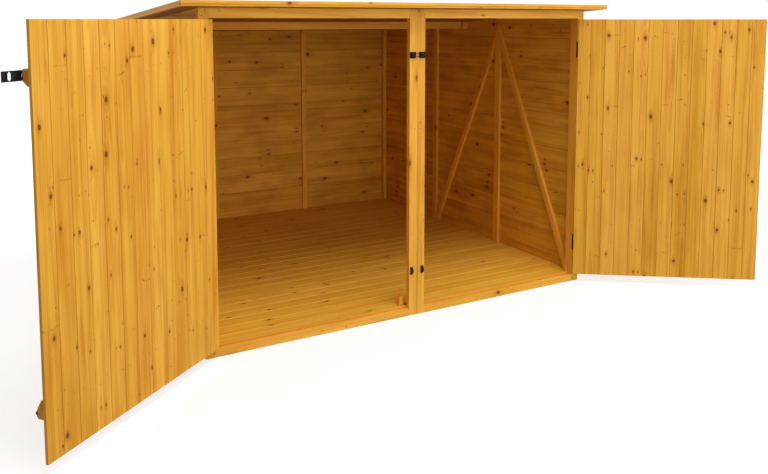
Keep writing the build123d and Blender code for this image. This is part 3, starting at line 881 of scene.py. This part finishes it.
side_low, side_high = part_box("left_wall")
back_low, back_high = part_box("back_wall")
roof_slope = (side_high.z - back_high.z) / (back_low.y - side_low.y)
roof_cut = ((0, side_low.y, side_high.z), (0, roof_slope, 1))
front_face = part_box("front_sill")[0].y
roof_low, roof_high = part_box("roof_boards")
roof_thickness = roof_high.z - roof_low.z - roof_slope * (roof_high.y - roof_low.y)
felt_low, felt_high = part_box("roof_felt")
felt_width = (felt_high.y - felt_low.y + (FELT_SHEETS - 1) * FELT_LAP) / FELT_SHEETS


def laid(along, across, through):
    """Turns boards so that they run, follow each other and lie thick along three axes."""
    turn = Matrix.Diagonal((0, 0, 0, 1))
    for column, axis in enumerate((along, across, through)):
        turn[AXES[axis]][column] = 1
    return turn


def roof_under(y):
    """Height of the underside of the roof boards."""
    return side_high.z - roof_slope * (y - side_low.y)


def door_place(side):
    """Frame of a door as it stands open: X from its pin to its free edge, Y outwards, Z up."""
    joint = next(one for one in frame["joints"] if one["name"] == f"{DOOR_NAMES[side]}_swing")
    swing = math.radians(joint["range_deg"][1])
    pin = Vector(joint["pos_m"])
    run = Vector((-side * math.cos(swing), -math.sin(swing), 0))
    outward = Vector((side * math.sin(swing), -math.cos(swing), 0))
    place = Matrix((run, outward, (0, 0, 1))).transposed().to_4x4()
    place.translation = (pin.x, pin.y, 0)
    return place


DOOR_PLACES = {side: door_place(side) for side in (LEFT, RIGHT)}


# Frame, walls and floor

def timbers():
    """Posts, sills, joists, battens, braces, rails and roof edges, with eased arrises and grain."""
    for node, slot in SLOT_OF.items():
        if slot != "frame_timber" or node in LAID:
            continue
        # The centre posts meet in pairs and get painted shade along their shared arris.
        paired = node.startswith("centre_post")
        arris = 2.4 * MM if paired else 1.2 * MM
        pile = Pile()
        for solid in solids(node):
            pile.timber(solid, arris, paired, stepped=node == "roof_edge_front")
        name = f"{node}_planed"
        show(name, pile.mesh(name), slot, BODY_OF[node], [node])


def uprights_at(*nodes, axis):
    """Middles of the uprights that stand against a wall."""
    middles = [((low + high) / 2)[axis] for node in nodes for low, high in limits_of(node)]
    return sorted(set(round(middle, 4) for middle in middles))


def wall_rows(top):
    """Middles of a wall's boards up to a height, with the width left under the roof."""
    middle = LOWEST_JOINT - WALL_BOARD / 2
    rows = []
    while middle + WALL_BOARD * 0.2 < top:
        rows.append(middle)
        middle += WALL_BOARD
    return rows


def wall_boards(node, along, through, seed):
    """Lays a wall's boards, cut off at its foot and under the roof."""
    low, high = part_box(node)
    run, thick = AXES[along], AXES[through]
    count = math.ceil((high.z - LOWEST_JOINT) / WALL_BOARD) + 1
    mesh = boards(high[run] - low[run], WALL_BOARD, count, high[thick] - low[thick], seed)
    corner = [low.x, low.y, LOWEST_JOINT - WALL_BOARD]
    corner[thick] = (low[thick] + high[thick]) / 2
    pile = Pile()
    place = Matrix.Translation(corner) @ laid(along, "Z", through)
    pile.boards(mesh, place, [roof_cut, ((0, 0, low.z), (0, 0, -1))])
    show(f"{node}_boards", pile.mesh(node), "wall_timber", nodes=[node])


def wall_nails(uprights, foot, roof_at):
    """Places along and up a wall where nails hold its boards to its uprights."""
    places = []
    for middle in uprights:
        top = roof_at(middle)
        for row in wall_rows(top):
            for lift in (-0.3, 0.3):
                height = row + lift * WALL_BOARD + dice.uniform(-3, 3) * MM
                if foot + 8 * MM < height < top - 12 * MM:
                    places.append((middle + dice.uniform(-4, 4) * MM, height))
    return places


def side_wall(side):
    node = "left_wall" if side == LEFT else "right_wall"
    low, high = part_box(node)
    wall_boards(node, "Y", "X", seed=11 if side == LEFT else 23)
    face = (low.x if side == LEFT else high.x) - side * 0.35 * MM
    uprights = uprights_at("front_corner_battens", "rear_corner_battens", f"{node}_studs", axis=1)
    spots = [((face, y, z), (side, 0, 0)) for y, z in wall_nails(uprights, low.z, roof_under)]
    heads(f"{node}_nails", spots, **WALL_NAIL)


def back_wall():
    wall_boards("back_wall", "X", "Y", seed=37)
    uprights = uprights_at("rear_corner_battens", "back_wall_battens", axis=0)
    top = roof_under(back_high.y)
    face = back_high.y - 0.35 * MM
    spots = [((x, face, z), (0, 1, 0)) for x, z in wall_nails(uprights, back_low.z, lambda x: top)]
    heads("back_wall_nails", spots, **WALL_NAIL)


def floor():
    """The floor's boards, and the nails that hold them to the joists."""
    low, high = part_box("floor_boards")
    pitch = (high.y - low.y) / FLOOR_ROWS
    mesh = boards(
        high.x - low.x, pitch, FLOOR_ROWS, high.z - low.z, seed=51, joint=0.9 * MM, chamfer=1.9 * MM,
    )
    corner = Matrix.Translation((low.x, low.y, (low.z + high.z) / 2))
    pile = Pile()
    pile.boards(mesh, corner @ laid("X", "Y", "Z"))
    show("floor_boards_laid", pile.mesh("floor"), "floor_timber", nodes=["floor_boards"])
    spots = []
    for x in uprights_at("floor_joists", axis=0):
        for row in range(FLOOR_ROWS):
            for lift in (0.25, 0.75):
                y = low.y + (row + lift) * pitch + dice.uniform(-2, 2) * MM
                if y > low.y + 30 * MM:
                    spots.append(((x + dice.uniform(-5, 5) * MM, y, high.z - 0.4 * MM), (0, 0, 1)))
    heads("floor_nails", spots, **FLOOR_NAIL)


# Roof

def roof_shear():
    """Leans what is drawn level so that it lies on the slope of the roof."""
    lean = Matrix.Identity(4)
    lean[2][1] = -roof_slope
    lean[2][3] = side_high.z + roof_slope * side_low.y
    return lean


def roof():
    low, high = roof_low, roof_high
    mesh = boards(high.y - low.y, (high.x - low.x) / ROOF_ROWS, ROOF_ROWS, roof_thickness, seed=67)
    corner = Matrix.Translation((low.x, low.y, roof_thickness / 2))
    pile = Pile()
    pile.boards(mesh, roof_shear() @ corner @ laid("Y", "X", "Z"))
    # The roof boards take the darker pine, as painted shade.
    show("roof_boards_laid", pile.mesh("roof"), "frame_timber", nodes=["roof_boards"], material=SHADED_ROOF_PINE)


def sheet_front(sheet):
    """Where a sheet of felt starts, counted from the front of the roof."""
    return felt_low.y + sheet * (felt_width - FELT_LAP)


def sheet_height(sheet, x, y, climb=25 * MM):
    """Height of a sheet's underside over the boards: a slight wave, and a rise onto the next sheet."""
    lapped = sheet_front(sheet) + felt_width - FELT_LAP
    rise = min(max((y - (lapped - climb)) / climb, 0), 1) if sheet < FELT_SHEETS - 1 else 0
    rise = rise * rise * (3 - 2 * rise)
    wave = noise.noise(Vector((x * 2.1, y * 3.3, sheet * 5.0))) * 0.35 * MM
    flat = min(1.0, (x - felt_low.x) / 0.02, (felt_high.x - x) / 0.02)
    return rise * (FELT_THICKNESS + 0.15 * MM) + (abs(wave) * max(flat, 0) + 0.05 * MM)


def sheet_rows(sheet, rows=44, columns=150):
    """Rows of places on a sheet's underside; the front edge of a lapping sheet is a little ragged."""
    lean = roof_shear()
    for row in range(rows + 1):
        y = sheet_front(sheet) + row / rows * felt_width
        places = []
        for column in range(columns + 1):
            x = felt_low.x + (felt_high.x - felt_low.x) * column / columns
            ragged = noise.noise(Vector((x * 9.0, sheet * 3.0, 2.0))) * 0.8 * MM if sheet and not row else 0
            z = roof_thickness + sheet_height(sheet, x, y)
            places.append(lean @ Vector((x, y + ragged, z)))
        yield places


def felt():
    """Three sheets of felt from side to side, each lapped over the one behind it."""
    sheets = bmesh.new()
    for sheet in range(FELT_SHEETS):
        grid = [[sheets.verts.new(place) for place in places] for places in sheet_rows(sheet)]
        for first, second in zip(grid, grid[1:]):
            for column in range(len(first) - 1):
                sheets.faces.new((first[column], first[column + 1], second[column + 1], second[column]))
    mesh = bpy.data.meshes.new("roof_felt_sheets")
    sheets.to_mesh(mesh)
    sheets.free()
    holder = put("holder", mesh)
    solid = holder.modifiers.new("thickness", "SOLIDIFY")
    solid.thickness = FELT_THICKNESS
    solid.offset = 1.0
    mesh = finished(holder)
    shade_smooth(mesh, 40)
    show("roof_felt_sheets", mesh, "roof_felt", nodes=["roof_felt"])


def felt_nails():
    """Nails along the front edge of each sheet and down both sides of the roof."""
    low, high = felt_low, felt_high
    lean = roof_shear()
    outward = (0, roof_slope, 1)
    top = roof_thickness + 2 * FELT_THICKNESS + 0.1 * MM
    spots = []
    for sheet in range(FELT_SHEETS):
        y = sheet_front(sheet) + 22 * MM
        level = top if sheet else top - FELT_THICKNESS
        x = low.x + 25 * MM
        while x < high.x - 20 * MM:
            spots.append((lean @ Vector((x, y + dice.uniform(-3, 3) * MM, level)), outward))
            x += (62 + dice.uniform(-6, 6)) * MM
    for x in (low.x + 14 * MM, high.x - 14 * MM):
        y = low.y + 60 * MM
        while y < high.y - 10 * MM:
            spots.append((lean @ Vector((x, y, top - 0.6 * MM)), outward))
            y += (95 + dice.uniform(-8, 8)) * MM
    heads("felt_nails", spots, **FELT_NAIL)


# Doors and ironwork

def door(side):
    """A door's upright boards, and the nails that hold them to its rails."""
    name = DOOR_NAMES[side]
    place = DOOR_PLACES[side]
    low, high = limits_of(f"{name}_boards", place)[0]
    pitch = (high.x - low.x - HINGE_STRIP - FREE_STRIP) / (DOOR_STRIPS - 2)
    start = low.x + HINGE_STRIP - pitch
    seed = 83 if side == LEFT else 97
    mesh = boards(
        high.z - low.z, pitch, DOOR_STRIPS, high.y - low.y, seed, joint=0.6 * MM, chamfer=1.4 * MM,
    )
    corner = Matrix.Translation((start, (low.y + high.y) / 2, low.z))
    run, outward = place.col[0].to_3d(), place.col[1].to_3d()
    cuts = [(place @ Vector((low.x, 0, 0)), -run), (place @ Vector((high.x, 0, 0)), run)]
    pile = Pile()
    pile.boards(mesh, place @ corner @ laid("Z", "X", "Y"), cuts)
    show(f"{name}_strips", pile.mesh(name), "door_timber", name, [f"{name}_boards"])
    spots = []
    for rail_low, rail_high in limits_of(f"{name}_rails", place):
        middle = (rail_low.z + rail_high.z) / 2
        for strip in range(DOOR_STRIPS):
            reach = start + (strip + 0.5) * pitch
            for lean in (-1, 1):
                x = reach + lean * pitch * 0.24 + dice.uniform(-3, 3) * MM
                z = middle + lean * 11 * MM * (-1) ** strip + dice.uniform(-3, 3) * MM
                if low.x + 30 * MM < x < high.x - 8 * MM and dice.random() < 0.62:
                    spots.append((place @ Vector((x, low.y + 0.15 * MM, z)), -outward))
    heads(f"{name}_nails", spots, body=name, **DOOR_NAIL)


def ironwork():
    """Hinges, hasp, keepers and tabs, with eased edges."""
    for node, slot in SLOT_OF.items():
        if slot != "black_steel":
            continue
        whole = merged(node)
        flatten(whole)
        sharp = [
            edge for edge in whole.edges
            if edge.is_manifold and edge.calc_face_angle() > math.radians(50)
        ]
        bmesh.ops.bevel(
            whole, geom=sharp, offset=0.35 * MM, segments=2, profile=0.5, affect="EDGES", clamp_overlap=True,
        )
        mesh = bpy.data.meshes.new(f"{node}_eased")
        whole.to_mesh(mesh)
        whole.free()
        shade_smooth(mesh, 30)
        show(f"{node}_eased", mesh, slot, BODY_OF[node], [node])


def leaf_screws(low, high):
    """A hinge leaf's three screws: how far each stands off their line, and its height."""
    off_line = 3.5 * MM
    for share, step in ((0.16, -off_line), (0.5, off_line), (0.84, -off_line)):
        yield step, low.z + (high.z - low.z) * share


def post_screws(side):
    """Screws of the hinge leaves on an outer post."""
    post = "left_post_hinges" if side == LEFT else "right_post_hinges"
    spots = []
    for low, high in limits_of(post):
        x = (high.x * 0.42 + low.x * 0.58) if side == LEFT else (low.x * 0.42 + high.x * 0.58)
        for step, height in leaf_screws(low, high):
            spots.append(((x - side * step, front_face - 2.0 * MM, height), (0, -1, 0)))
    heads(f"{post}_screws", spots, **SCREW)


def door_screws(side):
    """Screws of a door's hinge leaves and tab and, on the left door, of its hasp."""
    name = DOOR_NAMES[side]
    place = DOOR_PLACES[side]
    board_face = limits_of(f"{name}_boards", place)[0][1].y
    spots = []
    for low, high in limits_of(f"{name}_hinges", place):
        for step, height in leaf_screws(low, high):
            spots.append((19 * MM + step, board_face + 2.0 * MM, height))
    plates = [(f"{name}_tab", (9,), (-6, 6))]
    if side == LEFT:
        plates.append(("hasp_base", (9, 34), (-10, 10)))
    for node, columns, lifts in plates:
        low, high = limits_of(node, place)[0]
        middle = (low.z + high.z) / 2
        for x in columns:
            for lift in lifts:
                spots.append((low.x + x * MM, low.y + 2.5 * MM, middle + lift * MM))
    outward = place.col[1].to_3d()
    heads(f"{name}_screws", [(place @ Vector(spot), outward) for spot in spots], body=name, **SCREW)


def keeper_screws():
    """Screws of the keepers on the centre posts."""
    upper = ((-13.2, -8), (-13.2, 8), (13.2, -8), (13.2, 8))
    lower = ((0, -14.5), (0, 14.5))
    spots = []
    for node, steps in (("upper_keepers", upper), ("lower_keepers", lower)):
        for low, high in limits_of(node):
            middle = (low + high) / 2
            for x, z in steps:
                spots.append(((middle.x + x * MM, high.y - 2.5 * MM, middle.z + z * MM), (0, -1, 0)))
    heads("keeper_screws", spots, **SCREW)


def front_nails():
    """Nail heads on the face of the front frame, at its joists, header and posts."""
    face, forward = front_face + 0.2 * MM, (0, -1, 0)
    low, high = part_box("front_sill")
    middle = (low.z + high.z) / 2
    joists = [x for x in uprights_at("floor_joists", axis=0) if abs(x) > 60 * MM]
    spots = [((x, face, middle + dice.uniform(-4, 4) * MM), forward) for x in joists]
    heads("sill_nails", spots, **SILL_NAIL)
    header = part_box("header_left")[0].z
    spots = []
    for node in ("front_post_left", "front_post_right", "centre_post_left", "centre_post_right"):
        low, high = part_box(node)
        for z in (header + 12 * MM, header + 32 * MM, 0.42, 0.95):
            x = (low.x + high.x) / 2 + dice.uniform(-9, 9) * MM
            spots.append(((x, face, z + dice.uniform(-5, 5) * MM), forward))
    heads("front_frame_nails", spots, **POST_NAIL)


# Stage, light and camera

SOFTBOXES = {
    "key_softbox": ((0.0, -3.5, 6.5), (4.0, 3.0), 245),
    "high_softbox": ((-2.2, -6.8, 4.4), (4.5, 3.0), 45),
    "front_softbox": ((1.5, -8.0, 1.8), (5.0, 2.0), 125),
    "side_softbox": ((5.5, -5.5, 2.6), (3.0, 3.0), 145),
    "rear_softbox": ((-3.5, 6.5, 4.5), (3.5, 2.5), 350),
    "right_softbox": ((7.2, 2.6, 3.4), (3.0, 2.5), 270),
}


def lit_through(shading, shown, unseen):
    """Shows one shader to the camera, in reflections and through glass, and another to all other light."""
    rays = shading.node("LightPath").outputs
    seen = rays["Is Camera Ray"]
    for way in ("Is Glossy Ray", "Is Transmission Ray"):
        seen = shading.math("MAXIMUM", seen, rays[way])
    return shading.node("MixShader", {0: seen, 1: unseen.outputs[0], 2: shown.outputs[0]}).outputs[0]


def surround():
    """A white surround, which lights the shelter only a little."""
    world = bpy.data.worlds.new("white_surround")
    bpy.context.scene.world = world
    world.use_nodes = True
    world.node_tree.nodes.clear()
    air = Shading(world.node_tree)
    shown = air.node("Background", {"Color": (1, 1, 1, 1), "Strength": 1.0})
    unseen = air.node("Background", {"Color": (1.0, 0.985, 0.96, 1), "Strength": 0.16})
    air.node("OutputWorld", {"Surface": lit_through(air, shown, unseen)})


def stage(reach=30.0):
    """A wide white floor, which keeps a faint shadow and turns pure white further away."""
    mesh = bpy.data.meshes.new("studio_floor")
    corners = [(-reach, -reach, 0), (reach, -reach, 0), (reach, reach, 0), (-reach, reach, 0)]
    mesh.from_pydata(corners, [], [(0, 1, 2, 3)])
    white = Finish("studio_white")
    away = white.node("VectorMath", {0: white.node("TexCoord").outputs["Object"]}, operation="LENGTH")
    near, far = 1.6, 5.5
    glow = white.reach(away.outputs["Value"], near, far, 0.64, 1.0)
    matt = white.node("BsdfDiffuse", {"Color": (0.45, 0.45, 0.45, 1)})
    glowing = white.node("Emission", {"Strength": glow})
    lifted = white.node("AddShader", {0: matt.outputs[0], 1: glowing.outputs[0]})
    out = next(node for node in white.tree.nodes if node.type == "OUTPUT_MATERIAL")
    white.tree.nodes.remove(white.surface)
    white.feed(out.inputs["Surface"], lit_through(white, lifted, matt))
    mesh.materials.append(white.material)
    put("studio_floor", mesh)


def lights():
    """Softboxes round the shelter, all aimed at its middle."""
    middle = Vector((0.0, -0.4, 0.7))
    for name, (place, size, power) in SOFTBOXES.items():
        lamp = bpy.data.lights.new(name, "AREA")
        lamp.shape = "RECTANGLE"
        lamp.size, lamp.size_y = size
        lamp.energy = power
        lamp.color = (1.0, 0.99, 0.97)
        light = put(name, lamp)
        light.location = place
        light.rotation_euler = (middle - Vector(place)).to_track_quat("-Z", "Y").to_euler()
        light.visible_camera = False


def camera():
    """Stands at eye height in front of the left-hand door, turned to the right."""
    lens = bpy.data.cameras.new("eye_height")
    lens.sensor_width = 36.0
    lens.lens = 37.193
    lens.shift_y = -0.18
    eye = put("eye_height", lens)
    yaw, pitch = math.radians(29.799), math.radians(5.683)
    eye.location = (-2.0901, -4.4269, 1.4936)
    eye.rotation_euler = (math.radians(90) - pitch, 0, -yaw)
    bpy.context.scene.camera = eye


timbers()
side_wall(LEFT)
side_wall(RIGHT)
back_wall()
floor()
roof()
felt()
felt_nails()
door(LEFT)
door(RIGHT)
ironwork()
post_screws(LEFT)
post_screws(RIGHT)
door_screws(LEFT)
door_screws(RIGHT)
keeper_screws()
front_nails()
surround()
stage()
lights()
camera()
bpy.context.scene.view_settings.view_transform = "Standard"
